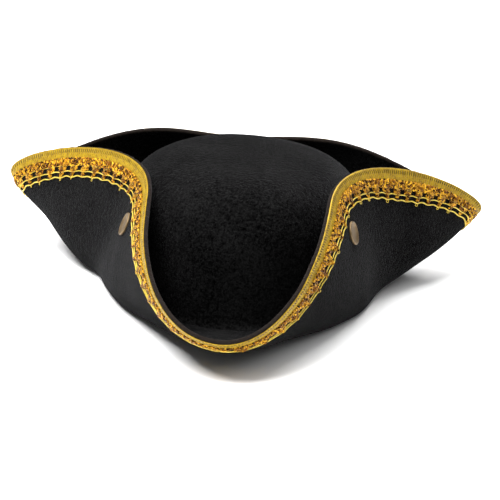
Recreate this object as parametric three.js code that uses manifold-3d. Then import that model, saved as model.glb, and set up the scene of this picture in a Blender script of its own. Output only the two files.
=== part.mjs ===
// A tricorn hat of black felt with gold galloon lace, in millimetres, +Z up.
//
// The crown stands on a brim whose three sides are turned up and snapped to it, so the brim has three
// corners: one at the front (-Y) and two at the back. The brim is one sheet that follows six stations round
// the crown. It is cut into a floor that stays still, and on each side a turned-up flap with the soft fold
// that it swings on. Each flap's axis is the straight line between the two corners beside it.

import * as THREE from 'three';
import { ParametricGeometry } from 'three/addons/geometries/ParametricGeometry.js';
import { mergeVertices } from 'three/addons/utils/BufferGeometryUtils.js';
import Module from 'manifold-3d';

const wasm = await Module();
wasm.setup();

// ---- driving dimensions ----

const FELT = 3;                    // thickness of the felt
const GAP = 0.3;                   // between pieces that touch
const CROWN_HALF_WIDTH = 93;       // outside, at the base
const CROWN_HALF_DEPTH = 102;
const CROWN_HEIGHT = 103;
const CROWN_SQUARENESS = 4.2;      // power of the dome's outline: 2 is an ellipse, more is boxier
const SEAT = 3;                    // the brim's flat ring reaches this far each side of the crown's base line

// The brim's stations, anticlockwise seen from above, from the front corner. bearing: direction on the
// crown in degrees from -Y towards +X. reach: how far the floor heads out level. edge: the point on the
// brim's edge. run: which way the edge runs there, and how fast. lean: from the edge back into the brim.
const STATIONS = [
  { bearing: 0, reach: 17, edge: [3, -208, 30], run: [102, 0, -6], lean: [2, 34, -26] },
  { bearing: 76, reach: 16, edge: [65, -76, 92], run: [6, 245, 106], lean: [16, 18, -9] },
  { bearing: 110, reach: 35, edge: [176, 98, 46], run: [-25, -2, -41], lean: [-16, -35, -14] },
  { bearing: 180, reach: 34, edge: [-7, 92, 99], run: [-406, 0, 0], lean: [-3, 32, -40] },
  { bearing: 250, reach: 23, edge: [-188, 82, 48], run: [-25, 2, 50], lean: [13, -21, -14] },
  { bearing: 284, reach: 17, edge: [-62, -81, 87], run: [6, -245, -106], lean: [-12, 20, -10] },
];
const [FRONT, RIGHT_CORNER, LEFT_CORNER] = [0, 2, 4];
const BACK_DIP = 10.5;             // the snap draws the middle of the back edge down by this much
const BACK_DIP_TURN = 0.15;        // and over this many stations each way
const BACK_DIP_AT = 3.02;

// Between the left corner and the left snap the brim sags outwards and nearly to the ground.
const SAG = { turn: 4.56, spread: 0.35, reach: 15, lean: [-20, -19, -61] };

const LACE_WIDTH = 25;
const LACE_THICKNESS = 1.2;
const LACE_INSET = 1.5;            // bare felt left at the brim's edge
const LACE_GAP = 1;                // room between lace and felt for the facets of both

const SWEATBAND_HEIGHT = 30;
const SWEATBAND_THICKNESS = 1.2;

// The snaps: a dished cap and a socket on the flap, and a stud and a flat rivet head on the crown.
const SNAP_BELOW_EDGE = 37;        // from the brim's edge to a snap, along the felt
const SNAP_GAP = 1;                // room between a snap and the felt's facets
const SNAP_SHANK_RADIUS = 2.6;
const CAP_RADIUS = 8.75;
const CAP_RIM_WIDTH = 2.2;
const CAP_RIM_HEIGHT = 2.2;
const CAP_DISH_HEIGHT = 1.3;
const CAP_DISH_RISE = 0.3;         // from the dish's middle to its rim
const CAP_SIDE_HEIGHT = 1.4;
const CAP_UNDERCUT = 0.4;
const SOCKET_RADIUS = 6;
const SOCKET_DEPTH = 2.2;
const SOCKET_WALL = 0.7;
const SOCKET_CHAMFER = 0.5;
const STUD_RADIUS = 1.8;
const STUD_CHAMFER = 0.45;
const STUD_PLAY = 2.2;             // the stud stands at the crown's slope and the socket at the flap's
const FLANGE = 0.6;
const FLANGE_RADIUS = 3.4;
const RIVET_ROOM = 1.7;            // the crown closes in on the rivet's flat head by this much
const RIVET_HEAD = 1.2;
const CROWN_ROUND = 0.35;          // how far the crown curves away under a flange

const OPENING_ANGLE = 60;          // how far a flap turns down once it is unsnapped
const FOLD_TOP = 5;                // the fold, in degrees about the flap's axis, 0 being level outwards
const FOLD_SLACK = 18;
const FOLD_BOTTOM = FOLD_TOP - OPENING_ANGLE - FOLD_SLACK;
const FLAP_TOP = 174;

// ---- mesh density and the steps of searches ----

const TURN_STEPS = 84;
const ACROSS_STEPS = 11;
const LACE_STEPS = 2;
const CROWN_SEGMENTS = 36;
const DOME_STEPS = 8;
const SNAP_SEGMENTS = 14;
const SLOPE_STEP = 0.004;          // in stations and in parts of the brim's width, for its normal
const EDGE_STEPS = 40;             // across the brim, for lengths back from its edge
const SNAP_SEARCH_STEP = 0.02;
const SNAP_SEARCH_REACH = 40;
const WELD_DISTANCE = 1e-4;
const FAR = 600;                   // beyond the hat in every direction

// ---- colours ----

const felt = new THREE.MeshStandardMaterial({ color: 0x141414, roughness: 0.95, metalness: 0 });
const lace = new THREE.MeshStandardMaterial({ color: 0xc9980f, roughness: 0.45, metalness: 0.6 });
const nickel = new THREE.MeshStandardMaterial({ color: 0xa38664, roughness: 0.5, metalness: 0.8 });
const ribbon = new THREE.MeshStandardMaterial({ color: 0x0c0c0c, roughness: 0.8, metalness: 0 });

// ---- the brim's surface ----

const UP = new THREE.Vector3(0, 0, 1);
const radians = THREE.MathUtils.degToRad;

// Cubic from a to b with the slopes fromSlope and toSlope, at 0 <= t <= 1.
function hermite(a, fromSlope, b, toSlope, t) {
  const t2 = t * t;
  const t3 = t2 * t;
  return (2 * t3 - 3 * t2 + 1) * a + (t3 - 2 * t2 + t) * fromSlope
    + (3 * t2 - 2 * t3) * b + (t3 - t2) * toSlope;
}

const station = (k) => STATIONS[(k % STATIONS.length + STATIONS.length) % STATIONS.length];

// A number that each station states, carried smoothly round the brim. lap is what it gains in one turn.
function around(turn, value, lap = 0) {
  const k = Math.floor(turn);
  const at = (i) => value(station(i)) + lap * Math.floor(i / STATIONS.length);
  const slope = (i) => (at(i + 1) - at(i - 1)) / 2;
  return hermite(at(k), slope(k), at(k + 1), slope(k + 1), turn - k);
}

// The brim's edge, from the stations' own points and slopes.
function edgePoint(turn) {
  const k = Math.floor(turn);
  const [a, b] = [station(k), station(k + 1)];
  const axis = (i) => hermite(a.edge[i], a.run[i], b.edge[i], b.run[i], turn - k);
  const fromBack = (turn - BACK_DIP_AT) / BACK_DIP_TURN;
  return new THREE.Vector3(axis(0), axis(1), axis(2) - BACK_DIP * Math.exp(-fromBack * fromBack));
}

// The oval at the crown's base, moved out by grow, and the level direction straight out of it.
function baseOval(turn, grow) {
  const bearing = radians(around(turn, (s) => s.bearing, 360));
  const outward = new THREE.Vector3(
    Math.sin(bearing) / CROWN_HALF_WIDTH, -Math.cos(bearing) / CROWN_HALF_DEPTH, 0).normalize();
  const point = new THREE.Vector3(
    CROWN_HALF_WIDTH * Math.sin(bearing), -CROWN_HALF_DEPTH * Math.cos(bearing), 0);
  return { point: point.addScaledVector(outward, grow), outward };
}

// The brim's middle surface: across 0 is the end of its flat ring and 1 is its edge.
function brimPoint(turn, across) {
  const { point: start, outward } = baseOval(turn, SEAT);
  const edge = edgePoint(turn);
  const lap = turn - STATIONS.length * Math.floor(turn / STATIONS.length);
  const sag = Math.exp(-(((lap - SAG.turn) / SAG.spread) ** 2));
  const lean = new THREE.Vector3(...[0, 1, 2].map((i) => around(turn, (s) => s.lean[i]) + sag * SAG.lean[i]));
  const level = start.clone().addScaledVector(outward, around(turn, (s) => s.reach) + sag * SAG.reach);
  return new THREE.CubicBezierCurve3(start, level, edge.clone().add(lean), edge).getPoint(across);
}

// The direction out of the brim's outer (under) face.
function brimNormal(turn, across) {
  const [low, high] = [Math.max(across - SLOPE_STEP, 0), Math.min(across + SLOPE_STEP, 1)];
  const alongTurn = brimPoint(turn + SLOPE_STEP, across).sub(brimPoint(turn - SLOPE_STEP, across));
  const alongAcross = brimPoint(turn, high).sub(brimPoint(turn, low));
  return alongTurn.cross(alongAcross).normalize();
}

// How far across the brim a point lies that is this many millimetres back from the edge.
function acrossFromEdge(turn, distance) {
  let left = distance;
  let from = brimPoint(turn, 1);
  for (let i = EDGE_STEPS - 1; i >= 0; i -= 1) {
    const to = brimPoint(turn, i / EDGE_STEPS);
    const length = from.distanceTo(to);
    if (length >= left) return (i + 1 - left / length) / EDGE_STEPS;
    left -= length;
    from = to;
  }
  return 0;
}

// ---- solids ----

// A manifold-3d solid from a closed geometry, facing out whichever way its faces were wound.
function solidOf(geometry) {
  const bare = geometry.clone();
  bare.deleteAttribute('normal');
  bare.deleteAttribute('uv');
  const merged = mergeVertices(bare, WELD_DISTANCE);
  const index = Array.from(merged.index.array);
  const at = merged.attributes.position;
  const [a, b, c] = [new THREE.Vector3(), new THREE.Vector3(), new THREE.Vector3()];
  const triangles = [];
  let volume = 0;
  for (let i = 0; i < index.length; i += 3) {
    const [p, q, r] = index.slice(i, i + 3);
    if (p === q || q === r || r === p) continue;
    volume += a.fromBufferAttribute(at, p).dot(
      b.fromBufferAttribute(at, q).cross(c.fromBufferAttribute(at, r)));
    triangles.push([p, q, r]);
  }
  const outward = volume > 0 ? triangles : triangles.map(([p, q, r]) => [p, r, q]);
  return new wasm.Manifold(new wasm.Mesh({
    numProp: 3,
    vertProperties: new Float32Array(at.array),
    triVerts: new Uint32Array(outward.flat()),
  }));
}

function geometryOf(solid) {
  const mesh = solid.getMesh();
  const geometry = new THREE.BufferGeometry();
  geometry.setAttribute('position', new THREE.BufferAttribute(mesh.vertProperties, mesh.numProp));
  geometry.setIndex(new THREE.BufferAttribute(mesh.triVerts, 1));
  geometry.computeVertexNormals();
  return geometry;
}

// The biggest of the bodies that a cut leaves.
function mainBody(solid) {
  return solid.decompose().reduce((best, body) => (body.volume() > best.volume() ? body : best));
}

// The biggest body in each half of what a cut leaves: the half by the side's first corner and the other.
function bothEnds(side, solid) {
  const middle = corner(side.from).add(corner(side.to)).multiplyScalar(0.5);
  const along = corner(side.to).sub(corner(side.from));
  const half = (direction) => mainBody(solid.trimByPlane(direction.toArray(), direction.dot(middle)));
  return { start: half(along.clone().negate().normalize()), end: half(along.clone().normalize()) };
}

// A closed ring round the hat. outline(turn) gives the corners of its section there.
function ring(outline, corners) {
  const sections = Array.from({ length: TURN_STEPS }, (_, i) => outline(i / TURN_STEPS * STATIONS.length));
  return solidOf(new ParametricGeometry((u, v, target) => {
    const section = sections[Math.round(u * TURN_STEPS) % TURN_STEPS];
    target.copy(section[Math.round(v * corners) % corners]);
  }, TURN_STEPS, corners));
}

// The section of the brim: out along its upper face and back along its lower one.
function brimSection(turn) {
  const upper = [];
  const lower = [];
  const seat = baseOval(turn, -SEAT).point;
  upper.push(seat.clone().addScaledVector(UP, FELT / 2));
  lower.push(seat.clone().addScaledVector(UP, -FELT / 2));
  for (let i = 0; i <= ACROSS_STEPS; i += 1) {
    const across = i / ACROSS_STEPS;
    const point = brimPoint(turn, across);
    const normal = i === 0 ? UP.clone().negate() : brimNormal(turn, across);
    upper.push(point.clone().addScaledVector(normal, -FELT / 2));
    lower.push(point.clone().addScaledVector(normal, FELT / 2));
  }
  return [...upper, ...lower.reverse()];
}

// The section of the lace, which lies on the brim's outer face along the edge.
function laceSection(turn) {
  const inner = [];
  const outer = [];
  const from = acrossFromEdge(turn, LACE_INSET + LACE_WIDTH);
  const to = acrossFromEdge(turn, LACE_INSET);
  for (let i = 0; i <= LACE_STEPS; i += 1) {
    const across = from + (to - from) * i / LACE_STEPS;
    const normal = brimNormal(turn, across);
    const base = brimPoint(turn, across).addScaledVector(normal, FELT / 2 + LACE_GAP);
    inner.push(base);
    outer.push(base.clone().addScaledVector(normal, LACE_THICKNESS));
  }
  return [...inner, ...outer.reverse()];
}

// ---- cutting the brim into its sides ----

const corner = (k) => new THREE.Vector3(...STATIONS[k].edge);

// A flap swings about the line from one corner to the next. flapEnds and foldEnds say how far in from
// those corners its solid and its fold's solid start and stop.
const SIDES = {
  right: { from: FRONT, to: RIGHT_CORNER, snapTurn: 1, flapEnds: [62, 44], foldEnds: [18, 16] },
  back: { from: RIGHT_CORNER, to: LEFT_CORNER, snapTurn: 3, flapEnds: [60, 60], foldEnds: [16, 16] },
  left: { from: LEFT_CORNER, to: FRONT, snapTurn: 5, flapEnds: [44, 62], foldEnds: [16, 18] },
};

// The axis as a start, a direction, a length and a frame whose X is level and outwards and whose Y is up.
function axisOf(side) {
  const start = corner(side.from);
  const along = corner(side.to).sub(start);
  const length = along.length();
  along.normalize();
  const outwards = along.clone().cross(UP).normalize();
  const frame = new THREE.Matrix4().makeBasis(outwards, along.clone().cross(outwards).negate(), along);
  return { start, length, frame: frame.setPosition(start) };
}

// A prism along the axis, between two angles about it and two places along it, shrunk by inset all round.
function wedge(side, low, high, ends, inset) {
  const { length, frame } = axisOf(side);
  const half = radians(high - low) / 2;
  const middle = radians(low + high) / 2;
  const tip = inset / Math.sin(half);
  const at = (angle, distance) => new THREE.Vector2(
    Math.cos(middle) * tip + Math.cos(angle) * distance,
    Math.sin(middle) * tip + Math.sin(angle) * distance);
  const sweep = [-1, -0.5, 0, 0.5, 1].map((t) => at(middle + t * half, FAR));
  const geometry = new THREE.ExtrudeGeometry(new THREE.Shape([at(0, 0), ...sweep]), {
    depth: length - ends[0] - ends[1] - 2 * inset, bevelEnabled: false, steps: 1,
  });
  geometry.translate(0, 0, ends[0] + inset);
  return solidOf(geometry.applyMatrix4(frame));
}

// The upright prism over one side of the hat, from one corner's bearing to the next.
function sector(side) {
  const [a, b] = [side.from, side.to].map((k) => {
    const { x, y } = corner(k);
    return new THREE.Vector2(x, y).setLength(FAR);
  });
  const middle = a.clone().add(b).setLength(FAR);
  const shape = new THREE.Shape([new THREE.Vector2(), a, middle, b]);
  const geometry = new THREE.ExtrudeGeometry(shape, { depth: FAR, bevelEnabled: false, steps: 1 });
  return solidOf(geometry.translate(0, 0, -FAR / 2));
}

// The room that a side's flap takes, and the room that its flap and fold take together.
const flapRoom = (side, inset) => sector(side).intersect(
  wedge(side, FOLD_TOP, FLAP_TOP, side.flapEnds, inset));
function movingRoom(side, inset) {
  const above = wedge(side, FOLD_TOP - 1, FLAP_TOP, side.foldEnds, inset);
  const below = wedge(side, FOLD_BOTTOM, FOLD_TOP, side.foldEnds, inset);
  return sector(side).intersect(above.add(below));
}

// ---- the crown ----

// Points of the dome's outline from its rim to its top, for a dome this much smaller all round.
function domeProfile(shrink, base) {
  const [radius, height] = [CROWN_HALF_WIDTH - shrink, CROWN_HEIGHT - shrink];
  const power = 2 / CROWN_SQUARENESS;
  return Array.from({ length: DOME_STEPS + 1 }, (_, i) => {
    const angle = i / DOME_STEPS * Math.PI / 2;
    const out = i === DOME_STEPS ? 0 : radius * Math.cos(angle) ** power;
    return new THREE.Vector2(out, i === 0 ? base : Math.max(base, height * Math.sin(angle) ** power));
  });
}

// A turned shape stretched from a circle of the crown's half width to the crown's oval.
function ovalLathe(profile) {
  const geometry = new THREE.LatheGeometry(profile, CROWN_SEGMENTS);
  geometry.rotateX(Math.PI / 2);
  geometry.scale(1, CROWN_HALF_DEPTH / CROWN_HALF_WIDTH, 1);
  return geometry;
}

function crownSolid() {
  const base = FELT / 2 + GAP;
  const outside = domeProfile(0, base);
  const inside = domeProfile(FELT, base);
  return solidOf(ovalLathe([...outside, ...inside.reverse(), outside[0]]));
}

function sweatbandSolid() {
  const outer = CROWN_HALF_WIDTH - FELT - 2 * GAP;
  const inner = outer - SWEATBAND_THICKNESS;
  const low = FELT / 2 + GAP;
  const high = low + SWEATBAND_HEIGHT;
  const profile = [[outer, low], [outer, high], [inner, high], [inner, low], [outer, low]];
  return solidOf(ovalLathe(profile.map(([r, z]) => new THREE.Vector2(r, z))));
}

// How far outside the dome a point is: 1 on its surface, less inside.
function domeLevel(p) {
  const across = Math.hypot(p.x / CROWN_HALF_WIDTH, p.y / CROWN_HALF_DEPTH);
  return across ** CROWN_SQUARENESS + Math.abs(p.z / CROWN_HEIGHT) ** CROWN_SQUARENESS;
}

function domeNormal(p) {
  const d = 0.01;
  const slope = (step) => domeLevel(p.clone().add(step)) - domeLevel(p.clone().sub(step));
  return new THREE.Vector3(
    slope(new THREE.Vector3(d, 0, 0)), slope(new THREE.Vector3(0, d, 0)), slope(new THREE.Vector3(0, 0, d)),
  ).normalize();
}

// ---- snap fasteners ----

// Where a snap goes through the flap, its axis, and where that axis meets the crown.
function snapPlace(side) {
  const across = acrossFromEdge(side.snapTurn, SNAP_BELOW_EDGE);
  const onFlap = brimPoint(side.snapTurn, across);
  const axis = brimNormal(side.snapTurn, across);
  const onCrown = onFlap.clone();
  for (let i = 0; i < SNAP_SEARCH_REACH / SNAP_SEARCH_STEP && domeLevel(onCrown) > 1; i += 1) {
    onCrown.addScaledVector(axis, -SNAP_SEARCH_STEP);
  }
  return { onFlap, axis, onCrown, crownAxis: domeNormal(onCrown), reach: onFlap.distanceTo(onCrown) };
}

// A turned piece from [radius, height] corners, its axis from +Z to the given direction.
function turned(corners, position, direction) {
  const profile = [...corners, corners[0]].map(([r, h]) => new THREE.Vector2(r, h));
  const geometry = new THREE.LatheGeometry(profile, SNAP_SEGMENTS);
  geometry.rotateX(Math.PI / 2);
  geometry.applyQuaternion(new THREE.Quaternion().setFromUnitVectors(UP, direction));
  return solidOf(geometry.translate(position.x, position.y, position.z));
}

function snapSolids(side) {
  const place = snapPlace(side);
  const face = FELT / 2 + SNAP_GAP;
  const cap = turned([
    [0, face + CAP_DISH_HEIGHT], [CAP_RADIUS - CAP_RIM_WIDTH, face + CAP_DISH_HEIGHT + CAP_DISH_RISE],
    [CAP_RADIUS - CAP_RIM_WIDTH / 2, face + CAP_RIM_HEIGHT], [CAP_RADIUS, face + CAP_SIDE_HEIGHT],
    [CAP_RADIUS - CAP_UNDERCUT, face], [SNAP_SHANK_RADIUS, face],
    [SNAP_SHANK_RADIUS, -FELT / 2], [0, -FELT / 2],
  ], place.onFlap, place.axis);
  const bore = STUD_RADIUS + STUD_PLAY;
  const socket = turned([
    [0, -face], [SOCKET_RADIUS, -face], [SOCKET_RADIUS, -face - SOCKET_DEPTH + SOCKET_CHAMFER],
    [SOCKET_RADIUS - SOCKET_CHAMFER, -face - SOCKET_DEPTH], [bore, -face - SOCKET_DEPTH],
    [bore, -face - SOCKET_WALL], [0, -face - SOCKET_WALL],
  ], place.onFlap, place.axis);
  const studTop = place.reach - face - SOCKET_WALL - 4 * GAP;
  const onFace = GAP + CROWN_ROUND;
  const stud = turned([
    [0, onFace], [FLANGE_RADIUS, onFace], [FLANGE_RADIUS, onFace + FLANGE / 2],
    [STUD_RADIUS, onFace + FLANGE], [STUD_RADIUS, studTop - STUD_CHAMFER],
    [STUD_RADIUS - STUD_CHAMFER, studTop], [0, studTop],
  ], place.onCrown, place.crownAxis);
  const behind = -FELT - RIVET_ROOM;
  const rivet = turned([
    [0, 0], [SNAP_SHANK_RADIUS, 0], [SNAP_SHANK_RADIUS, behind], [SOCKET_RADIUS, behind],
    [SOCKET_RADIUS - SOCKET_CHAMFER, behind - RIVET_HEAD], [0, behind - RIVET_HEAD],
  ], place.onCrown, place.crownAxis);
  const hole = (position, direction) => turned([
    [0, -FELT * 2], [SNAP_SHANK_RADIUS + GAP, -FELT * 2], [SNAP_SHANK_RADIUS + GAP, FELT], [0, FELT],
  ], position, direction);
  return {
    cap, socket, stud, rivet,
    flapHole: hole(place.onFlap, place.axis), crownHole: hole(place.onCrown, place.crownAxis),
  };
}

// ---- the hat ----

const hat = new THREE.Group();

function addNode(name, solid, material) {
  const mesh = new THREE.Mesh(geometryOf(solid), material);
  mesh.name = name;
  hat.add(mesh);
}

const brim = ring(brimSection, 2 * (ACROSS_STEPS + 2));
const laceRing = ring(laceSection, 2 * (LACE_STEPS + 1));
let floor = brim;
let cornerLace = laceRing;
let crown = crownSolid();

for (const [name, side] of Object.entries(SIDES)) {
  const snap = snapSolids(side);
  const whole = brim.intersect(sector(side));
  const flap = mainBody(whole.intersect(flapRoom(side, GAP / 2)));
  const fold = mainBody(whole.intersect(movingRoom(side, GAP / 2)).subtract(flapRoom(side, -GAP / 2)));
  addNode(`${name}_flap`, flap.subtract(snap.flapHole), felt);
  addNode(`${name}_fold`, fold, felt);
  addNode(`${name}_lace`, mainBody(laceRing.intersect(flapRoom(side, GAP / 2))), lace);
  const bending = laceRing.intersect(movingRoom(side, GAP / 2)).subtract(flapRoom(side, -GAP / 2));
  for (const [end, body] of Object.entries(bothEnds(side, bending))) {
    addNode(`${name}_lace_${end}`, body, lace);
  }
  addNode(`${name}_snap_cap`, snap.cap, nickel);
  addNode(`${name}_snap_socket`, snap.socket, nickel);
  addNode(`${name}_snap_stud`, snap.stud, nickel);
  addNode(`${name}_snap_rivet`, snap.rivet, nickel);
  floor = floor.subtract(movingRoom(side, -GAP / 2));
  cornerLace = cornerLace.subtract(movingRoom(side, -GAP / 2));
  crown = crown.subtract(snap.crownHole);
}

addNode('felt_crown', mainBody(crown), felt);
addNode('brim_floor', mainBody(floor), felt);
addNode('sweatband', sweatbandSolid(), ribbon);

// The lace left over is one piece at each corner, named by where its middle lies.
for (const body of cornerLace.decompose()) {
  const { min, max } = body.boundingBox();
  const [x, y] = [(min[0] + max[0]) / 2, (min[1] + max[1]) / 2];
  const place = y < -CROWN_HALF_DEPTH ? 'front' : x > 0 ? 'right' : 'left';
  addNode(`${place}_corner_lace`, body, lace);
}

// The hat's frame: the middle of its box in X and Y, and the surface that it stands on in Z.
const box = new THREE.Box3().setFromObject(hat);
hat.position.set(-(box.min.x + box.max.x) / 2, -(box.min.y + box.max.y) / 2, -box.min.z);

export default hat;
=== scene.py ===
"""A black felt tricorn with gold galloon lace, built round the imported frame."""

import math

import bmesh
import bpy
import numpy as np
from mathutils import Matrix, Vector


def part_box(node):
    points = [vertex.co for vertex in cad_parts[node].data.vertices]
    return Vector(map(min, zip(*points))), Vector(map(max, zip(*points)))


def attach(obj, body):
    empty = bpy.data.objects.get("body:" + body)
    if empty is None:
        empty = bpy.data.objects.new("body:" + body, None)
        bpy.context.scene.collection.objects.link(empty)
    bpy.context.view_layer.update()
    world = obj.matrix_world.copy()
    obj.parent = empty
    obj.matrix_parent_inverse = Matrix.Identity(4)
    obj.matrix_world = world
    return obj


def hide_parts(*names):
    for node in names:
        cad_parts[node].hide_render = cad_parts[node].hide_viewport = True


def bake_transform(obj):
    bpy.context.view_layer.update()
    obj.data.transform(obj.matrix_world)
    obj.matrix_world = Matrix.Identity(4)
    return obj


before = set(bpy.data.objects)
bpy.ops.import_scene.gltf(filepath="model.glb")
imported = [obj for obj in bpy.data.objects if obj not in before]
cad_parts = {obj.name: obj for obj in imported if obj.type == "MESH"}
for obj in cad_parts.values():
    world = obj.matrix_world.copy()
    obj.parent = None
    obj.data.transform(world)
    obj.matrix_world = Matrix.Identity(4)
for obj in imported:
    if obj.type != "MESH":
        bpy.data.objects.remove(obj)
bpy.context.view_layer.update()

MM = 0.001

# ---- driving dimensions, in millimetres, as in the CAD model ----

FELT = 3.0
CROWN_HALF_WIDTH = 93.0
CROWN_HALF_DEPTH = 102.0
CROWN_HEIGHT = 103.0
CROWN_SQUARENESS = 4.2
SEAT = 3.0                     # the flat ring reaches this far each side of the crown's base line
GAP = 0.3                      # between pieces that touch
SWEATBAND_HEIGHT = 30.0
SWEATBAND_THICKNESS = 1.2
RING_PER_ACROSS = 60.0         # millimetres of flat ring to one unit of across below 0
BACK_DIP = 10.5
BACK_DIP_TURN = 0.15
BACK_DIP_AT = 3.02
SNAP_BELOW_EDGE = 37.0

# Six stations round the brim from the front corner: bearing in degrees from -Y towards +X, level reach
# of the floor, the point on the edge, which way the edge runs, and the lean from the edge back in.
BEARINGS = [0, 76, 110, 180, 250, 284]
REACHES = [17, 16, 35, 34, 23, 17]
EDGES = [(3, -208, 30), (65, -76, 92), (176, 98, 46), (-7, 92, 99), (-188, 82, 48), (-62, -81, 87)]
RUNS = [(102, 0, -6), (6, 245, 106), (-25, -2, -41), (-406, 0, 0), (-25, 2, 50), (6, -245, -106)]
LEANS = [(2, 34, -26), (16, 18, -9), (-16, -35, -14), (-3, 32, -40), (13, -21, -14), (-12, 20, -10)]
STATIONS = 6

# Between the left corner and the left snap the brim sags outwards and nearly to the ground.
SAG_TURN = 4.56
SAG_SPREAD = 0.35
SAG_REACH = 15
SAG_LEAN = (-20, -19, -61)

# Each side of the brim: its stations from corner to corner and the station of its snap.
SIDES = {"right": (0, 2, 1), "back": (2, 4, 3), "left": (4, 6, 5)}

# The CAD hat is moved so that its box is centred. The crown is centred on the hat's own axis, so its box
# shows by how much.
crown_low, crown_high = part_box("felt_crown")
SHIFT = np.array([(crown_low[0] + crown_high[0]) / 2, (crown_low[1] + crown_high[1]) / 2, 0]) / MM
SHIFT[2] = FELT / 2


# ---- the brim's surface ----

def hermite(a, slope_a, b, slope_b, t):
    t = t.reshape(t.shape + (1,) * (a.ndim - t.ndim))
    return ((2 * t**3 - 3 * t**2 + 1) * a + (t**3 - 2 * t**2 + t) * slope_a
            + (3 * t**2 - 2 * t**3) * b + (t**3 - t**2) * slope_b)


def around(turn, values, lap=0.0):
    """What the stations state, carried smoothly round the brim; lap is its gain in one turn."""
    values = np.asarray(values, float).reshape(STATIONS, -1)
    k = np.floor(turn).astype(int)

    def at(i):
        return values[i % STATIONS] + lap * (i // STATIONS)[:, None]

    def slope(i):
        return (at(i + 1) - at(i - 1)) / 2

    return hermite(at(k), slope(k), at(k + 1), slope(k + 1), turn - k)


def edge_points(turn):
    k = np.floor(turn).astype(int)
    edges, runs = np.asarray(EDGES, float), np.asarray(RUNS, float)
    a, b = k % STATIONS, (k + 1) % STATIONS
    point = hermite(edges[a], runs[a], edges[b], runs[b], turn - k)
    from_back = (turn % STATIONS - BACK_DIP_AT) / BACK_DIP_TURN
    point[:, 2] -= BACK_DIP * np.exp(-from_back**2)
    return point


def base_oval(turn, grow):
    bearing = np.radians(around(turn, BEARINGS, 360.0)[:, 0])
    zero = np.zeros_like(bearing)
    out = np.stack([np.sin(bearing) / CROWN_HALF_WIDTH, -np.cos(bearing) / CROWN_HALF_DEPTH, zero], 1)
    out /= np.linalg.norm(out, axis=1)[:, None]
    point = np.stack([CROWN_HALF_WIDTH * np.sin(bearing), -CROWN_HALF_DEPTH * np.cos(bearing), zero], 1)
    return point + out * grow, out


def brim_points(turn, across):
    """The brim's middle surface at pairs of turn and across; across below 0 is on the flat ring."""
    start, out = base_oval(turn, SEAT)
    edge = edge_points(turn)
    sag = np.exp(-((turn % STATIONS - SAG_TURN) / SAG_SPREAD)**2)[:, None]
    level = start + out * (around(turn, REACHES) + sag * SAG_REACH)
    lean = edge + around(turn, LEANS) + sag * SAG_LEAN
    s = np.clip(across, 0, None)[:, None]
    curve = (1 - s)**3 * start + 3 * (1 - s)**2 * s * level + 3 * (1 - s) * s**2 * lean + s**3 * edge
    return curve + out * (np.clip(across, None, 0)[:, None] * RING_PER_ACROSS)


def brim_normals(turn, across):
    d = 0.003
    low, high = across - d, np.minimum(across + d, 1.0)
    along_turn = brim_points(turn + d, across) - brim_points(turn - d, across)
    along_across = brim_points(turn, high) - brim_points(turn, low)
    normal = np.cross(along_turn, along_across)
    return normal / np.linalg.norm(normal, axis=1)[:, None]


def smooth_noise(points, wavelength, seed):
    """Soft bumps of about that wavelength, between -1 and 1, from a few fixed waves."""
    waves = np.random.default_rng(seed)
    total = np.zeros(len(points))
    for _ in range(7):
        direction = waves.normal(size=3)
        direction /= np.linalg.norm(direction)
        rate = 2 * np.pi / (wavelength * waves.uniform(0.7, 1.5))
        total += np.sin(points @ direction * rate + waves.uniform(0, 2 * np.pi))
    return total / 4


CREASE_TOP = np.array([-93.0, -60.0, 42.0])
CREASE_FOOT = np.array([-104.0, -62.0, 8.0])
CREASE_DEPTH = 1.3
CREASE_HALF_WIDTH = 7.0
UNEVEN_HEIGHT = 0.35
UNEVEN_LENGTH = 55.0


def settle(points, normals):
    """The slow unevenness of blocked felt, and the soft crease that runs down from the left snap."""
    lift = UNEVEN_HEIGHT * smooth_noise(points, UNEVEN_LENGTH, seed=3)
    run = CREASE_FOOT - CREASE_TOP
    t = np.clip(((points - CREASE_TOP) @ run) / (run @ run), 0, 1)
    away = np.linalg.norm(points - CREASE_TOP - t[:, None] * run, axis=1)
    lift = lift - CREASE_DEPTH * np.exp(-(away / CREASE_HALF_WIDTH)**2)
    return points + normals * lift[:, None]


# ---- mesh helpers ----

def make_object(name, vertices, faces, material):
    """A mesh object from points in hat millimetres."""
    mesh = bpy.data.meshes.new(name)
    vertices = (np.asarray(vertices, float) + SHIFT) * MM
    faces = np.asarray(faces, int)
    sides = faces.shape[1]
    mesh.vertices.add(len(vertices))
    mesh.vertices.foreach_set("co", vertices.ravel())
    mesh.loops.add(faces.size)
    mesh.loops.foreach_set("vertex_index", faces.ravel())
    mesh.polygons.add(len(faces))
    mesh.polygons.foreach_set("loop_start", np.arange(len(faces)) * sides)
    mesh.polygons.foreach_set("loop_total", np.full(len(faces), sides))
    mesh.update(calc_edges=True)
    mesh.validate()
    mesh.polygons.foreach_set("use_smooth", np.full(len(mesh.polygons), True))
    mesh.materials.append(material)
    obj = bpy.data.objects.new(name, mesh)
    bpy.context.collection.objects.link(obj)
    return obj


def grid_faces(rows, columns, close_rows=False, close_columns=False):
    """Quads of a rows x columns grid of points, closed on itself where asked."""
    r = np.arange(rows if close_rows else rows - 1)
    c = np.arange(columns if close_columns else columns - 1)
    r, c = np.meshgrid(r, c, indexing="ij")
    r2, c2 = (r + 1) % rows, (c + 1) % columns
    quads = np.stack([r * columns + c, r * columns + c2, r2 * columns + c2, r2 * columns + c], -1)
    return quads.reshape(-1, 4)


def set_attribute(obj, name, values):
    attribute = obj.data.attributes.new(name, "FLOAT", "POINT")
    attribute.data.foreach_set("value", np.asarray(values, np.float32))


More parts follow.
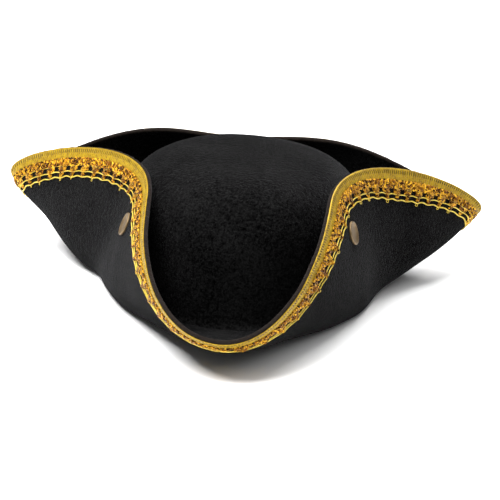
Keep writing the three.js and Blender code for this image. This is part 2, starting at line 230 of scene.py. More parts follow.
def lathe(name, profile, material, segments, scale=(1, 1), place=None):
    """A turned mesh from (radius, height) points; place is (point, axis) in hat millimetres."""
    profile = np.asarray(profile, float)
    angle = np.linspace(0, 2 * np.pi, segments, endpoint=False)
    r, z = profile[:, 0][:, None], profile[:, 1][:, None]
    points = np.stack([r * np.cos(angle) * scale[0], r * np.sin(angle) * scale[1], z + 0 * angle], -1)
    points = points.reshape(-1, 3)
    if place is not None:
        origin, axis = (np.asarray(p, float) for p in place)
        axis = axis / np.linalg.norm(axis)
        side = np.cross(axis, [0, 0, 1.0])
        side /= np.linalg.norm(side)
        points = origin + points @ np.stack([side, np.cross(axis, side), axis])
    obj = make_object(name, points, grid_faces(len(profile), segments, close_columns=True), material)
    return weld(obj)


def weld(obj):
    """Joins points at the same place, so that a turned tip has one."""
    bm = bmesh.new()
    bm.from_mesh(obj.data)
    bmesh.ops.remove_doubles(bm, verts=bm.verts, dist=1e-6)
    bmesh.ops.recalc_face_normals(bm, faces=bm.faces)
    bm.to_mesh(obj.data)
    bm.free()
    return obj


# ---- materials ----

class Nodes:
    """A short way to write a material's nodes."""

    def __init__(self, name):
        self.material = bpy.data.materials.new(name)
        self.material.use_nodes = True
        self.tree = self.material.node_tree
        self.shader = self.tree.nodes["Principled BSDF"]
        self.place = self.add("ShaderNodeTexCoord").outputs["Object"]

    def add(self, kind, inputs=None, **settings):
        node = self.tree.nodes.new(kind)
        for key, value in settings.items():
            setattr(node, key, value)
        for key, value in (inputs or {}).items():
            self.put(node.inputs[key], value)
        return node

    def put(self, socket, value):
        if isinstance(value, bpy.types.NodeSocket):
            self.tree.links.new(value, socket)
        else:
            socket.default_value = value

    def noise(self, scale, detail=3.0, roughness=0.55, vector=None):
        inputs = {"Vector": vector or self.place, "Scale": scale, "Detail": detail, "Roughness": roughness}
        return self.add("ShaderNodeTexNoise", inputs).outputs["Fac"]

    def ramp(self, factor, stops):
        node = self.add("ShaderNodeValToRGB", {"Fac": factor})
        while len(node.color_ramp.elements) < len(stops):
            node.color_ramp.elements.new(0.5)
        for element, (position, colour) in zip(node.color_ramp.elements, stops):
            element.position = position
            element.color = (*colour, 1) if isinstance(colour, tuple) else (colour, colour, colour, 1)
        return node.outputs["Color"]

    def math(self, operation, a, b=0.0):
        node = self.add("ShaderNodeMath", operation=operation)
        self.put(node.inputs[0], a)
        self.put(node.inputs[1], b)
        return node.outputs[0]

    def mix(self, factor, a, b, blend="MIX"):
        node = self.add("ShaderNodeMix", data_type="RGBA", blend_type=blend)
        self.put(node.inputs[0], factor)
        self.put(node.inputs[6], a)
        self.put(node.inputs[7], b)
        return node.outputs[2]

    def bump(self, height, strength, distance, normal=None):
        inputs = {"Height": height, "Strength": strength, "Distance": distance}
        if normal is not None:
            inputs["Normal"] = normal
        return self.add("ShaderNodeBump", inputs).outputs["Normal"]

    def stretched(self, scale):
        return self.add("ShaderNodeMapping", {"Vector": self.place, "Scale": scale}).outputs["Vector"]

    def attribute(self, name):
        return self.add("ShaderNodeAttribute", attribute_name=name).outputs["Fac"]


CUT_FELT = (0.02, 0.0155, 0.013, 1)       # the brown-grey inside of the felt, bare at its cut edge
PAINTED_SHADE_IN_SLOTS = (0.004, 0.002, 0.0, 1)       # painted shade between the ribs of the lace's heading, where the slots lie in shadow


def felt_material(name, dark, light, sheen):
    """Pressed fibres: mottled fine grain, stray pale fibres and a dusty sheen at grazing angles."""
    n = Nodes(name)
    grain = n.noise(900.0, 4.0, 0.7)
    mottle = n.noise(430.0, 3.0, 0.7)
    cloud = n.noise(22.0, 2.0, 0.5)
    tone = n.math("ADD", n.math("MULTIPLY", grain, 0.5), n.math("MULTIPLY", mottle, 0.35))
    tone = n.math("ADD", tone, n.math("MULTIPLY", cloud, 0.15))
    body = n.ramp(tone, [(0.43, dark), (0.6, light)])
    fibres = n.noise(1.0, 2.0, 0.5, n.stretched((1500.0, 420.0, 900.0)))
    strays = n.ramp(fibres, [(0.66, 0.0), (0.74, 1.0)])
    colour = n.mix(n.math("MULTIPLY", strays, 0.45), body, (light * 3.2, light * 3.1, light * 3.1, 1))
    cut = n.math("MULTIPLY", n.attribute("cut_edge"), n.math("ADD", mottle, 0.25))
    colour = n.mix(cut, colour, CUT_FELT)
    n.put(n.shader.inputs["Base Color"], colour)
    n.put(n.shader.inputs["Roughness"], n.math("ADD", n.math("MULTIPLY", mottle, 0.12), 0.86))
    n.shader.inputs["Specular IOR Level"].default_value = 0.0
    n.shader.inputs["Sheen Weight"].default_value = sheen
    n.shader.inputs["Sheen Roughness"].default_value = 0.27
    n.shader.inputs["Sheen Tint"].default_value = (0.9, 0.9, 0.93, 1)
    rough = n.bump(mottle, 0.6, 0.002)
    n.put(n.shader.inputs["Normal"], n.bump(grain, 0.8, 0.0008, rough))
    return n.material


def thread_material(name, dark, mid, bright, glitter, metallic, roughness, facet_size):
    """Metallic yarn: a fine twist, tone that wanders along it, facets that glint and painted shade in the
    slots between the heading's ribs.
    """
    n = Nodes(name)
    facets = n.add("ShaderNodeTexVoronoi", {"Vector": n.place, "Scale": 1 / facet_size}, feature="F1")
    sparkle = n.add("ShaderNodeSeparateColor", {"Color": facets.outputs["Color"]}).outputs[0]
    wander = n.noise(240.0, 3.0, 0.6)
    fine = n.noise(1600.0, 2.0, 0.6)
    tone = n.math("ADD", n.math("MULTIPLY", sparkle, glitter), n.math("MULTIPLY", wander, 1 - glitter))
    tone = n.math("ADD", n.math("MULTIPLY", tone, 0.8), n.math("MULTIPLY", fine, 0.2))
    yarn = n.ramp(tone, [(0.25, dark), (0.5, mid), (0.78, bright)])
    # Painted shade: the yarn's colour is pulled to near black in the slots between the heading's ribs.
    n.put(n.shader.inputs["Base Color"], n.mix(n.attribute("painted_slot_shade"), yarn, PAINTED_SHADE_IN_SLOTS))
    n.shader.inputs["Metallic"].default_value = metallic
    n.put(n.shader.inputs["Roughness"], n.math("ADD", n.math("MULTIPLY", sparkle, 0.25), roughness))
    soft = n.bump(fine, 0.5, 0.0003)
    n.put(n.shader.inputs["Normal"], n.bump(facets.outputs["Distance"], 0.9 * glitter, 0.0006, soft))
    return n.material


def metal_material(name, base, worn):
    """Satin antique nickel with tarnish in soft clouds and fine scratches."""
    n = Nodes(name)
    tarnish = n.noise(260.0, 4.0, 0.6)
    scratches = n.noise(1.0, 2.0, 0.5, n.stretched((2600.0, 160.0, 900.0)))
    n.put(n.shader.inputs["Base Color"], n.ramp(tarnish, [(0.3, worn), (0.65, base)]))
    n.shader.inputs["Metallic"].default_value = 0.75
    n.put(n.shader.inputs["Roughness"], n.math("ADD", n.math("MULTIPLY", tarnish, 0.3), 0.33))
    n.put(n.shader.inputs["Normal"], n.bump(scratches, 0.12, 0.0002))
    return n.material


def ribbon_material(name):
    """Black grosgrain: ribs across the band and a faint silky sheen."""
    n = Nodes(name)
    ribs = n.add("ShaderNodeTexWave", {"Vector": n.place, "Scale": 420.0, "Distortion": 0.4},
                 bands_direction="Z")
    wander = n.noise(120.0)
    n.put(n.shader.inputs["Base Color"], n.ramp(wander, [(0.3, 0.006), (0.7, 0.016)]))
    n.put(n.shader.inputs["Roughness"], n.math("ADD", n.math("MULTIPLY", wander, 0.2), 0.5))
    n.shader.inputs["Sheen Weight"].default_value = 0.3
    n.put(n.shader.inputs["Normal"], n.bump(ribs.outputs["Fac"], 0.6, 0.0004))
    return n.material


FELT_BLACK = felt_material("felt", dark=0.0003, light=0.011, sheen=0.078)
LACE_YELLOW = thread_material(
    "lace_yellow", dark=(0.10, 0.05, 0.0), mid=(0.36, 0.22, 0.0), bright=(0.56, 0.39, 0.008),
    glitter=0.25, metallic=0.45, roughness=0.36, facet_size=0.0009)
LACE_BRAID = thread_material(
    "lace_braid", dark=(0.02, 0.005, 0.0), mid=(0.27, 0.09, 0.0), bright=(0.9, 0.52, 0.03),
    glitter=0.75, metallic=0.75, roughness=0.22, facet_size=0.0015)
LACE_CORD = thread_material(
    "lace_cord", dark=(0.34, 0.22, 0.01), mid=(0.68, 0.50, 0.05), bright=(0.95, 0.78, 0.22),
    glitter=0.2, metallic=0.4, roughness=0.32, facet_size=0.0009)
NICKEL = metal_material("antique_nickel", base=(0.21, 0.145, 0.075), worn=(0.13, 0.085, 0.04))
RIBBON = ribbon_material("grosgrain")
THREAD = felt_material("sewing_thread", dark=0.012, light=0.03, sheen=0.3)


# ---- the crown ----

FLARE_OUT = 3.2                # the small roll where the crown turns out into the brim
FLARE_UP = 4.5
CROWN_UNEVEN_HEIGHT = 0.55
CROWN_UNEVEN_LENGTH = 80.0
CROWN_ROUND = (1, CROWN_HALF_DEPTH / CROWN_HALF_WIDTH)


def dome_profile(shrink, base, steps):
    power = 2 / CROWN_SQUARENESS
    angle = np.linspace(0, np.pi / 2, steps)
    radius = (CROWN_HALF_WIDTH - shrink) * np.cos(angle)**power
    height = (CROWN_HEIGHT - shrink) * np.sin(angle)**power
    radius[-1] = 0
    keep = height > base
    return list(zip(radius[keep], height[keep]))


def build_crown():
    foot = FELT / 2 + 0.05
    flare = [(CROWN_HALF_WIDTH + FLARE_OUT * (1 - math.sin(a)), foot + FLARE_UP * (1 - math.cos(a)))
             for a in np.linspace(0, math.pi / 2, 7)]
    outside = dome_profile(0, foot + FLARE_UP + 1, steps=90)
    inside = dome_profile(FELT, foot + 1, steps=60)
    profile = flare + outside + inside[::-1] + [(CROWN_HALF_WIDTH - FELT, foot), flare[0]]
    crown = lathe("felt_crown_skin", profile, FELT_BLACK, segments=168, scale=CROWN_ROUND)
    mesh = crown.data
    co = np.empty(len(mesh.vertices) * 3)
    mesh.vertices.foreach_get("co", co)
    points = co.reshape(-1, 3) / MM - SHIFT
    out = points / np.maximum(np.linalg.norm(points, axis=1), 1)[:, None]
    height = np.clip(points[:, 2] / CROWN_HEIGHT, 0, 1)[:, None]
    uneven = CROWN_UNEVEN_HEIGHT * smooth_noise(points, CROWN_UNEVEN_LENGTH, seed=11)
    points = points + out * height * uneven[:, None]
    mesh.vertices.foreach_set("co", ((points + SHIFT) * MM).ravel())
    mesh.update()
    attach(crown, "root")
    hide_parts("felt_crown")


# ---- the turned-up brim ----

BLEND_OUT = 0.45               # which way a bend would run: out, and up across the fold
BLEND_UP = 0.9
TURNS_PER_SIDE = 221
ACROSS_STEPS = 62
EDGE_FUZZ = 0.25
EDGE_FUZZ_LENGTH = 4.0
EDGE_PROUD = 0.75              # how far the rounded edge stands out, in half thicknesses of felt
EDGE_INSET = 0.6               # and how far in it starts
EDGE_ROUND = [(0.55, 0.95), (0.98, 0.6), (1.15, 0.0), (0.98, -0.6), (0.55, -0.95)]


def blend_side(obj, side):
    """Works out the flap's axis and the way a bend about it would run, which is not used, and bakes the
    piece's placement into its mesh.
    """
    start_turn, end_turn, _ = SIDES[side]
    a, b = (edge_points(np.array([float(t)]))[0] for t in (start_turn, end_turn % STATIONS))
    along = (b - a) / np.linalg.norm(b - a)
    out = np.cross(along, [0, 0, 1.0])
    out /= np.linalg.norm(out)
    direction = BLEND_OUT * out + BLEND_UP * np.cross(out, along)
    direction /= np.linalg.norm(direction)
    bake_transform(obj)


def build_brim(side):
    """One side of the brim, from the crown's foot to the edge: one piece of felt with a cut edge."""
    start, end, _ = SIDES[side]
    turns = np.linspace(start, end, TURNS_PER_SIDE)
    acrosses = np.concatenate([[-2 * SEAT / RING_PER_ACROSS, -SEAT / RING_PER_ACROSS],
                               np.linspace(0, 1, ACROSS_STEPS)])
    t, s = (a.ravel() for a in np.meshgrid(turns, acrosses, indexing="ij"))
    middle, normal = brim_points(t, s), brim_normals(t, s)
    middle = settle(middle, normal)
    shape = (len(turns), len(acrosses), 3)
    middle, normal = middle.reshape(shape), normal.reshape(shape)
    half = FELT / 2
    upper, lower = middle - normal * half, middle + normal * half
    away = middle[:, -1] - middle[:, -2]
    away /= np.linalg.norm(away, axis=1)[:, None]
    fuzz = EDGE_FUZZ * smooth_noise(middle[:, -1], EDGE_FUZZ_LENGTH, seed=5)[:, None]
    rim = [middle[:, -1] + away * (half * out * EDGE_PROUD - half * EDGE_INSET + fuzz * out)
           - normal[:, -1] * half * up for out, up in EDGE_ROUND]
    section = np.concatenate([upper[:, :-1], np.stack(rim, 1), lower[:, :-1][:, ::-1]], 1)
    rows, columns = section.shape[:2]
    faces = grid_faces(rows, columns, close_columns=True)
    piece = make_object(f"brim_{side}_felt", section.reshape(-1, 3), faces, FELT_BLACK)
    cut = np.zeros((rows, columns))
    cut[:, len(acrosses) - 1:len(acrosses) - 1 + len(EDGE_ROUND)] = 1
    set_attribute(piece, "cut_edge", cut.ravel())
    blend_side(piece, side)
    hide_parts(f"{side}_flap", f"{side}_fold", "brim_floor")


# ---- the lace ----

class EdgeMap:
    """From distance along the edge and distance in from it to a place on the brim's outside."""

    DEPTH = 30.0               # how far in the map reaches
    TURNS = 1441
    ACROSS = np.linspace(1, 0.45, 80)
    LEVELS = 61
    MEASURED_LEVEL = 20        # lengths along the lace are measured here, 10 mm in

    def __init__(self):
        self.turns = np.linspace(0, STATIONS, self.TURNS)
        steps = self.ACROSS
        t, s = (a.ravel() for a in np.meshgrid(self.turns, steps, indexing="ij"))
        points, normals = brim_points(t, s), brim_normals(t, s)
        points = settle(points, normals)
        shape = (len(self.turns), len(steps), 3)
        points, normals = points.reshape(shape), normals.reshape(shape)
        runs = np.linalg.norm(np.diff(points, axis=1), axis=2)
        depth = np.concatenate([np.zeros((shape[0], 1)), np.cumsum(runs, 1)], 1)
        self.levels = np.linspace(0, self.DEPTH, self.LEVELS)

        def at_levels(table):
            return np.stack([[np.interp(self.levels, depth[i], table[i, :, k]) for k in range(3)]
                             for i in range(shape[0])]).transpose(0, 2, 1)

        self.points, self.normals = at_levels(points), at_levels(normals)
        middle = self.points[:, self.MEASURED_LEVEL]
        step = np.linalg.norm(np.diff(middle, axis=0), axis=1)
        self.along = np.concatenate([[0], np.cumsum(step)])

    def run_of(self, side):
        """Where one side's lace starts and ends, as lengths along the edge."""
        return (float(np.interp(turn, self.turns, self.along)) for turn in SIDES[side][:2])

    def __call__(self, u, v, height):
        i = np.interp(u, self.along, np.arange(len(self.along)))
        j = np.clip(v, 0, self.DEPTH - 0.01) / self.DEPTH * (len(self.levels) - 1)
        i0 = np.minimum(i.astype(int), len(self.along) - 2)
        j0 = np.minimum(j.astype(int), len(self.levels) - 2)
        fi, fj = (i - i0)[:, None], (j - j0)[:, None]

        def pick(table):
            low = table[i0, j0] * (1 - fj) + table[i0, j0 + 1] * fj
            high = table[i0 + 1, j0] * (1 - fj) + table[i0 + 1, j0 + 1] * fj
            return low * (1 - fi) + high * fi

        normal = pick(self.normals)
        normal /= np.linalg.norm(normal, axis=1)[:, None]
        return pick(self.points) + normal * (FELT / 2 + np.asarray(height))[:, None]


# Bands of the lace, in millimetres in from the brim's edge.
HEADING = (0.5, 4.9)
PLAIN = (4.7, 9.0)
BRAID = (8.6, 14.7)
ROW_ONE = (15.0, 19.2)
ROW_TWO = (20.1, 22.9)
REPEAT = 15.0                  # from post to post
RIB_PITCH = 2.4                # between ribs of the heading
YARN_PITCH = 1.45              # between yarns of the plain band
HOLE_ONE = 5.4                 # widths of the holes in the two rows
HOLE_TWO = 10.2
BED = 0.35                     # how far the lace's ground stands off the felt
HEADING_RISE = 0.6
SLOT_DEPTH = 0.75
CORD_RADII = (0.34, 0.42, 0.5)
PICOT_RADIUS = 0.24
YARN_RADIUS = 0.48
POST_YARN_RADIUS = 0.45
POST_YARN_WAVE = 3.6
# The braid's loose yarns: how far in, how far each swings, and the length of its wave.
YARNS = [(9.6, 0.7, 2.6), (11.2, 1.1, 3.3), (12.9, 1.2, 2.9), (14.4, 0.8, 3.7)]


def lace_strip(name, edge_map, side, band, step, rows, height, material, keep=None, painted_slot_shade=None):
    """A band of the lace as a sheet; height, keep and the painted shade of the slots are functions of (u,
    v).
    """
    u0, u1 = edge_map.run_of(side)
    us = np.linspace(u0, u1, int((u1 - u0) / step) + 1)
    vs = np.linspace(*band, rows)
    u, v = (a.ravel() for a in np.meshgrid(us, vs, indexing="ij"))
    points = edge_map(u, v, height(u, v))
    faces = grid_faces(len(us), len(vs))
    if keep is not None:
        middle_u, middle_v = u[faces].mean(1), v[faces].mean(1)
        faces = faces[keep(middle_u, middle_v)]
        used = np.unique(faces)
        renumber = np.full(len(points), -1)
        renumber[used] = np.arange(len(used))
        points, faces = points[used], renumber[faces]
    strip = make_object(name, points, faces, material)
    # Painted shade: stores on the strip how far its colour is darkened in the slots between ribs.
    if painted_slot_shade is not None:
        set_attribute(strip, "painted_slot_shade", painted_slot_shade(u, v))
    return strip


def bumps(u, v, size, seed):
    return smooth_noise(np.stack([u, v * 1.3, 0 * u], 1), size, seed)


def heading_slot(u, v):
    """1 in the slots between the ribs and 0 on the ribs and on the smooth cord at the very edge; it sets
    both the slots' depth and the shade painted into them.
    """
    span = (v - HEADING[0]) / (HEADING[1] - HEADING[0])
    across = np.clip((span - 0.25) * 8, 0, 1) * np.clip((1 - span) * 6, 0, 1)
    strength = 0.8 + 0.2 * np.sin(u / 31.0) * np.sin(u / 11.0)
    ribs = np.cos(2 * np.pi * u / RIB_PITCH + 0.9 * np.sin(u / 37))
    return across * strength * np.clip(3.4 * ribs + 0.7, 0, 1)


def heading_height(u, v):
    """Upright ribs of yarn wound over the lace's straight border."""
    span = (v - HEADING[0]) / (HEADING[1] - HEADING[0])
    arch = np.sqrt(np.clip(1 - (2 * span - 1)**2, 0, 1))
    return BED + HEADING_RISE * arch - SLOT_DEPTH * heading_slot(u, v)


def plain_height(u, v):
    """Flat weave of thick yarns that run along the lace."""
    grooves = np.abs(np.sin(np.pi * (v - PLAIN[0]) / YARN_PITCH))
    weave = np.sin(2 * np.pi * u / RIB_PITCH)
    return BED + 0.22 * grooves + 0.16 * weave + 0.1 * bumps(u, v, 2.2, seed=21)


def post_half_width(v):
    """Half the width of the braided post between two holes, which narrows towards the scallops."""
    first = (REPEAT - HOLE_ONE) / 2
    second = (REPEAT - HOLE_TWO) / 2
    return np.interp(v, [ROW_ONE[1], ROW_TWO[0], ROW_TWO[1] + 1.2], [first, second, second * 0.7])


def wander(u):
    """How far the pattern of a hand-laid strip drifts along it."""
    return 0.35 * np.sin(u / 23.0) + 0.25 * np.sin(u / 9.7 + 1.0)


def repeat_phase(u):
    """How far along the lace a place is from the nearest post."""
    return (u + wander(u) + REPEAT / 2) % REPEAT - REPEAT / 2


def post_centres(u0, u1):
    """The number and the place of every post that stands clear of both ends."""
    for k in np.arange(math.ceil(u0 / REPEAT) + 1, int(u1 / REPEAT) - 1):
        yield k, k * REPEAT - wander(k * REPEAT)


def braid_height(u, v):
    """Crimped glitter yarn, thick and uneven."""
    thick = 0.55 + 0.42 * bumps(u, v, 2.0, seed=31) + 0.3 * bumps(u, v, 1.1, seed=32)
    return np.clip(thick, 0.2, 1.5)


def braid_keep(u, v):
    """True on the braid and its posts, False in the holes between them."""
    ragged = 0.35 * bumps(u, v, 1.6, seed=41)
    inside_posts = np.abs(repeat_phase(u)) < post_half_width(v) + ragged
    return (v < BRAID[1] + ragged) | (inside_posts & (v < ROW_TWO[1] + 1.0 + ragged))


def tube(path, radius, sides=7):
    """Points and quads of an open-ended tube along a path whose frames come from its own tangents."""
    path = np.asarray(path)
    tangent = np.gradient(path, axis=0)
    tangent /= np.linalg.norm(tangent, axis=1)[:, None]
    reference = np.where(np.abs(tangent[:, 2:3]) > 0.9, [[1.0, 0, 0]], [[0, 0, 1.0]])
    one = np.cross(tangent, reference)
    one /= np.linalg.norm(one, axis=1)[:, None]
    two = np.cross(tangent, one)
    angle = np.linspace(0, 2 * np.pi, sides, endpoint=False)
    ring = (one[:, None] * np.cos(angle)[:, None] + two[:, None] * np.sin(angle)[:, None])
    radius = np.broadcast_to(radius, len(path))[:, None, None]
    return (path[:, None] + ring * radius).reshape(-1, 3), grid_faces(len(path), sides, close_columns=True)


def join_parts(parts):
    """One list of points and one of quads from several."""
    points, faces, total = [], [], 0
    for p, f in parts:
        points.append(p)
        faces.append(np.asarray(f) + total)
        total += len(p)
    return np.concatenate(points), np.concatenate(faces)


def cord_paths(edge_map, side):
    """The three pale cords of the open work and the loops that stand out at some posts."""
    u0, u1 = edge_map.run_of(side)
    u = np.arange(u0, u1, 0.55)
    phase = repeat_phase(u) / REPEAT
    hole = 0.5 - np.abs(phase)
    wobble = 0.15 * np.sin(u / 3.1)
    arch = np.cos(2 * np.pi * phase)
    inner, middle, outer = CORD_RADII
    between = (ROW_ONE[1] + ROW_TWO[0]) / 2
    paths = [(u, ROW_ONE[0] + 0.1 + 0.35 * arch + wobble, 0.75 - 0.5 * (hole < 0.25), inner),
             (u, between + 0.3 * arch + wobble, np.full(len(u), 0.8), middle),
             (u, ROW_TWO[1] + 0.75 + 0.45 * arch + wobble, np.full(len(u), 0.55), outer)]
    for k, centre in post_centres(u0, u1):
        size = 0.9 + 0.5 * math.sin(k * 2.3)
        if size < 0.8:
            continue
        angle = np.linspace(0, 2 * np.pi, 16)
        paths.append((centre + 0.9 * size * np.sin(angle),
                      ROW_TWO[1] + 1.7 + 0.7 * size * (1 - np.cos(angle)),
                      0.5 + 0.3 * np.sin(angle), PICOT_RADIUS))
    return paths


def braid_yarns(edge_map, side):
    """Loose glitter yarns that loop over the braid and down the posts."""
    u0, u1 = edge_map.run_of(side)
    u = np.arange(u0, u1, 0.45)
    yarns = []
    for k, (middle, swing, pitch) in enumerate(YARNS):
        v = middle + swing * np.sin(2 * np.pi * u / pitch + k) + 0.3 * np.sin(u * 1.3 + 2 * k)
        height = 0.95 + 0.35 * np.sin(2 * np.pi * u / pitch * 0.5 + 1.7 * k)
        yarns.append((u, v, height, YARN_RADIUS))
    v = np.linspace(ROW_ONE[0] - 1.5, ROW_TWO[1] + 0.8, 26)
    wave = 2 * np.pi * (v - v[0]) / POST_YARN_WAVE
    for _, centre in post_centres(u0, u1):
        for sign in (-1, 1):
            sway = sign * post_half_width(v) * 0.75 * np.cos(wave)
            yarns.append((centre + sway, v, 0.9 + 0.3 * sign * np.sin(wave), POST_YARN_RADIUS))
    return yarns


# The corner whose lace each side's lace also stands for.
CORNERS = {"right": "front_corner_lace", "back": "right_corner_lace", "left": "left_corner_lace"}


def build_lace(side, edge_map):
    pieces = [
        lace_strip(f"{side}_lace_heading", edge_map, side, HEADING, 0.3, 15, heading_height,
                   LACE_YELLOW, painted_slot_shade=heading_slot),
        lace_strip(f"{side}_lace_ground", edge_map, side, PLAIN, 0.5, 13, plain_height, LACE_YELLOW),
        lace_strip(f"{side}_lace_braid", edge_map, side, (BRAID[0], ROW_TWO[1] + 1.3), 0.45, 36,
                   braid_height, LACE_BRAID, keep=braid_keep),
    ]
    for name, paths, material in [("cords", cord_paths(edge_map, side), LACE_CORD),
                                  ("yarns", braid_yarns(edge_map, side), LACE_BRAID)]:
        parts = [tube(edge_map(u, v, h), r) for u, v, h, r in paths]
        pieces.append(make_object(f"{side}_lace_{name}", *join_parts(parts), material))
    for piece in pieces:
        blend_side(piece, side)
        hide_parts(f"{side}_lace", f"{side}_lace_start", f"{side}_lace_end", CORNERS[side])


# ---- snap fasteners ----

SEARCH_STEP = 0.02
SLOPE_STEP = 0.01
SOCKET_ROOM = 1.9              # from the socket's back to the stud's top


def snap_place(side):
    turn = float(SIDES[side][2])
    steps = np.linspace(1, 0.3, 701)
    turns = np.full(len(steps), turn)
    points = brim_points(turns, steps)
    run = np.concatenate([[0], np.cumsum(np.linalg.norm(np.diff(points, axis=0), axis=1))])
    across = np.interp(SNAP_BELOW_EDGE, run, steps)
    at, on = np.array([turn]), np.array([across])
    return brim_points(at, on)[0], brim_normals(at, on)[0]


def dome_level(p):
    return (math.hypot(p[0] / CROWN_HALF_WIDTH, p[1] / CROWN_HALF_DEPTH)**CROWN_SQUARENESS
            + abs(p[2] / CROWN_HEIGHT)**CROWN_SQUARENESS)


def onto_crown(point, axis):
    """The first place on the crown's skin when going inwards along axis, and the skin's normal there."""
    place = point.copy()
    while dome_level(place) > 1:
        place = place - axis * SEARCH_STEP
    slope = [dome_level(place + SLOPE_STEP * e) - dome_level(place - SLOPE_STEP * e) for e in np.eye(3)]
    return place, np.array(slope) / np.linalg.norm(slope)


def cap_profile(face):
    """A shallow dished face, a rolled rim, and a shank through the felt."""
    dish = [(0, 0.95), (3.5, 1.0), (6.2, 1.25), (7.0, 1.55), (7.45, 1.95)]
    rim = [(7.95, 2.2), (8.45, 2.05), (8.72, 1.6), (8.75, 1.1), (8.5, 0.5), (8.1, 0.1)]
    shank = [(2.6, 0.1), (2.6, -2 * face), (0, -2 * face)]
    return [(radius, face + height) for radius, height in dish + rim + shank]


def socket_profile(face):
    """A round cup, open towards the stud."""
    outside = [(0, 0.1), (5.6, 0.1), (6, 0.5), (6, 2.1), (5.6, 2.6)]
    inside = [(4.4, 2.7), (4.0, 2.3), (4.0, 1.0), (0, 0.9)]
    return [(radius, -face - depth) for radius, depth in outside + inside]


def stud_profile(top):
    """A flat foot on the crown and the ball that the socket presses on."""
    base = [(0, 0.3), (3.4, 0.35), (3.5, 0.6), (2.2, 0.95), (1.5, 1.1)]
    ball = [(1.5, top - 1.0), (1.8, top - 0.6), (1.6, top - 0.15), (0.9, top), (0, top)]
    return base + ball


def rivet_profile():
    """A shank through the crown's felt and a domed head inside it."""
    shank = [(0, 0), (2.4, 0)]
    head = [(2.4, 1.6), (5.4, 1.6), (5.9, 2.0), (5.5, 2.6), (3.0, 2.95), (0, 3.0)]
    return shank + [(radius, -FELT - depth) for radius, depth in head]


def build_snap(side):
    point, axis = snap_place(side)
    on_crown, crown_axis = onto_crown(point, axis)
    face = FELT / 2
    stud_top = np.linalg.norm(point - on_crown) - face - SOCKET_ROOM
    for name, profile, place, body in [
            ("snap_cap", cap_profile(face), (point, axis), f"{side}_flap_body"),
            ("snap_socket", socket_profile(face), (point, axis), f"{side}_flap_body"),
            ("snap_stud", stud_profile(stud_top), (on_crown, crown_axis), "root"),
            ("snap_rivet", rivet_profile(), (on_crown, crown_axis), "root")]:
        piece = lathe(f"{side}_{name}_metal", profile, NICKEL, segments=56, place=place)
        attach(piece, body)
        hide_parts(f"{side}_{name}")


# ---- the sweatband ----

STITCHES = 150
STITCH_SHARE = 0.62            # of its pitch that a stitch covers
STITCH_POINTS = 6
STITCH_RADIUS = 0.28
STITCH_LIFT = 0.25
STITCH_HEIGHT = 3.0            # above the band's lower edge


def build_sweatband():
    outer = CROWN_HALF_WIDTH - FELT - 2 * GAP
    low = FELT / 2 + GAP
    high = low + SWEATBAND_HEIGHT
    middle = outer - SWEATBAND_THICKNESS / 2
    ribs = [(outer - SWEATBAND_THICKNESS - 0.12 * math.sin(z * 2.4), z)
            for z in np.linspace(low + 0.6, high - 0.6, 60)]
    profile = [(outer, low), (outer, high), (middle, high + 0.2), *ribs[::-1],
               (middle, low - 0.2), (outer, low)]
    band = lathe("sweatband_ribbon", profile, RIBBON, segments=120, scale=CROWN_ROUND)
    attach(band, "root")
    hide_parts("sweatband")
    stitches = []
    lift = STITCH_LIFT * np.sin(np.linspace(0, np.pi, STITCH_POINTS))
    r = outer - SWEATBAND_THICKNESS - 0.05 - lift
    for k in range(STITCHES):
        angle = 2 * np.pi * (k + np.linspace(0, STITCH_SHARE, STITCH_POINTS)) / STITCHES
        path = np.stack([r * np.cos(angle), r * np.sin(angle) * CROWN_ROUND[1],
                         np.full(STITCH_POINTS, low + STITCH_HEIGHT)], 1)
        stitches.append(tube(path, STITCH_RADIUS, sides=6))
    thread = make_object("sweatband_stitches", *join_parts(stitches), THREAD)
    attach(thread, "root")


# ---- the set ----

CAMERA_ELEVATION = 18.37       # degrees, as are the next two
CAMERA_YAW = -3.87
CAMERA_ROLL = 3.96
CAMERA_DISTANCE = 1938.0
VIEW_WIDTH = 376.79            # how much of the hat's middle the picture's width takes in
AIM_RIGHT = 6.5
AIM_UP = 26.3
SENSOR = 36.0


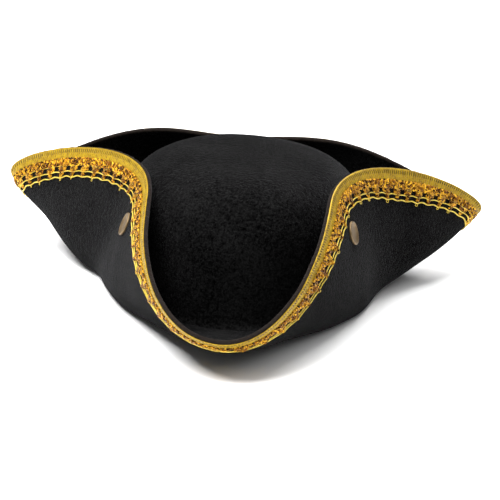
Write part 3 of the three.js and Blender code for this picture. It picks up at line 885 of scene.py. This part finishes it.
def build_camera():
    e, y, r = (math.radians(a) for a in (CAMERA_ELEVATION, CAMERA_YAW, CAMERA_ROLL))
    forward = np.array([math.sin(y) * math.cos(e), math.cos(y) * math.cos(e), -math.sin(e)])
    right = np.array([math.cos(y), -math.sin(y), 0])
    up = np.array([math.sin(y) * math.sin(e), math.cos(y) * math.sin(e), math.cos(e)])
    aim = SHIFT + right * AIM_RIGHT + up * AIM_UP
    image_right = right * math.cos(r) + up * math.sin(r)
    image_up = up * math.cos(r) - right * math.sin(r)
    data = bpy.data.cameras.new("camera")
    data.sensor_width = SENSOR
    data.lens = CAMERA_DISTANCE / VIEW_WIDTH * SENSOR
    data.clip_end = 100
    camera = bpy.data.objects.new("camera", data)
    bpy.context.collection.objects.link(camera)
    place = (aim - forward * CAMERA_DISTANCE) * MM
    axes = np.stack([image_right, image_up, -forward], 1)
    matrix = np.eye(4)
    matrix[:3, :3], matrix[:3, 3] = axes, place
    camera.matrix_world = Matrix(matrix.tolist())
    bpy.context.scene.camera = camera


LAMP_TARGET = (0, 0, 0.05)      # metres: the middle of the hat
WORLD_LIGHT = 0.22


def area_light(name, azimuth, elevation, distance, size, power):
    """A soft square lamp aimed at the hat. Azimuth 0 is in front of it and 90 on its right."""
    a, e = math.radians(azimuth), math.radians(elevation)
    data = bpy.data.lights.new(name, "AREA")
    data.energy, data.size = power, size
    lamp = bpy.data.objects.new(name, data)
    place = Vector((math.sin(a) * math.cos(e), -math.cos(a) * math.cos(e), math.sin(e))) * distance
    lamp.location = place
    lamp.rotation_euler = (Vector(LAMP_TARGET) - place).to_track_quat("-Z", "Y").to_euler()
    bpy.context.collection.objects.link(lamp)


def build_set():
    bpy.ops.mesh.primitive_plane_add(size=30, location=(0, 0, 0))
    floor = bpy.context.object
    floor.name = "floor"
    n = Nodes("floor_paper")
    n.shader.inputs["Base Color"].default_value = (0.9, 0.9, 0.9, 1)
    n.shader.inputs["Roughness"].default_value = 0.9
    floor.data.materials.append(n.material)
    world = bpy.data.worlds.new("studio")
    world.use_nodes = True
    world.node_tree.nodes["Background"].inputs["Color"].default_value = (1, 1, 1, 1)
    world.node_tree.nodes["Background"].inputs["Strength"].default_value = WORLD_LIGHT
    bpy.context.scene.world = world
    area_light("key", azimuth=-52, elevation=60, distance=1.7, size=0.8, power=54)
    area_light("overhead", azimuth=172, elevation=58, distance=1.9, size=1.5, power=56)
    area_light("floor_wash", azimuth=30, elevation=62, distance=2.6, size=2.6, power=30)
    bpy.context.scene.view_settings.view_transform = "Standard"


build_camera()
build_crown()
edge_map = EdgeMap()
for side_name in SIDES:
    build_brim(side_name)
    build_lace(side_name, edge_map)
    build_snap(side_name)
build_sweatband()
build_set()
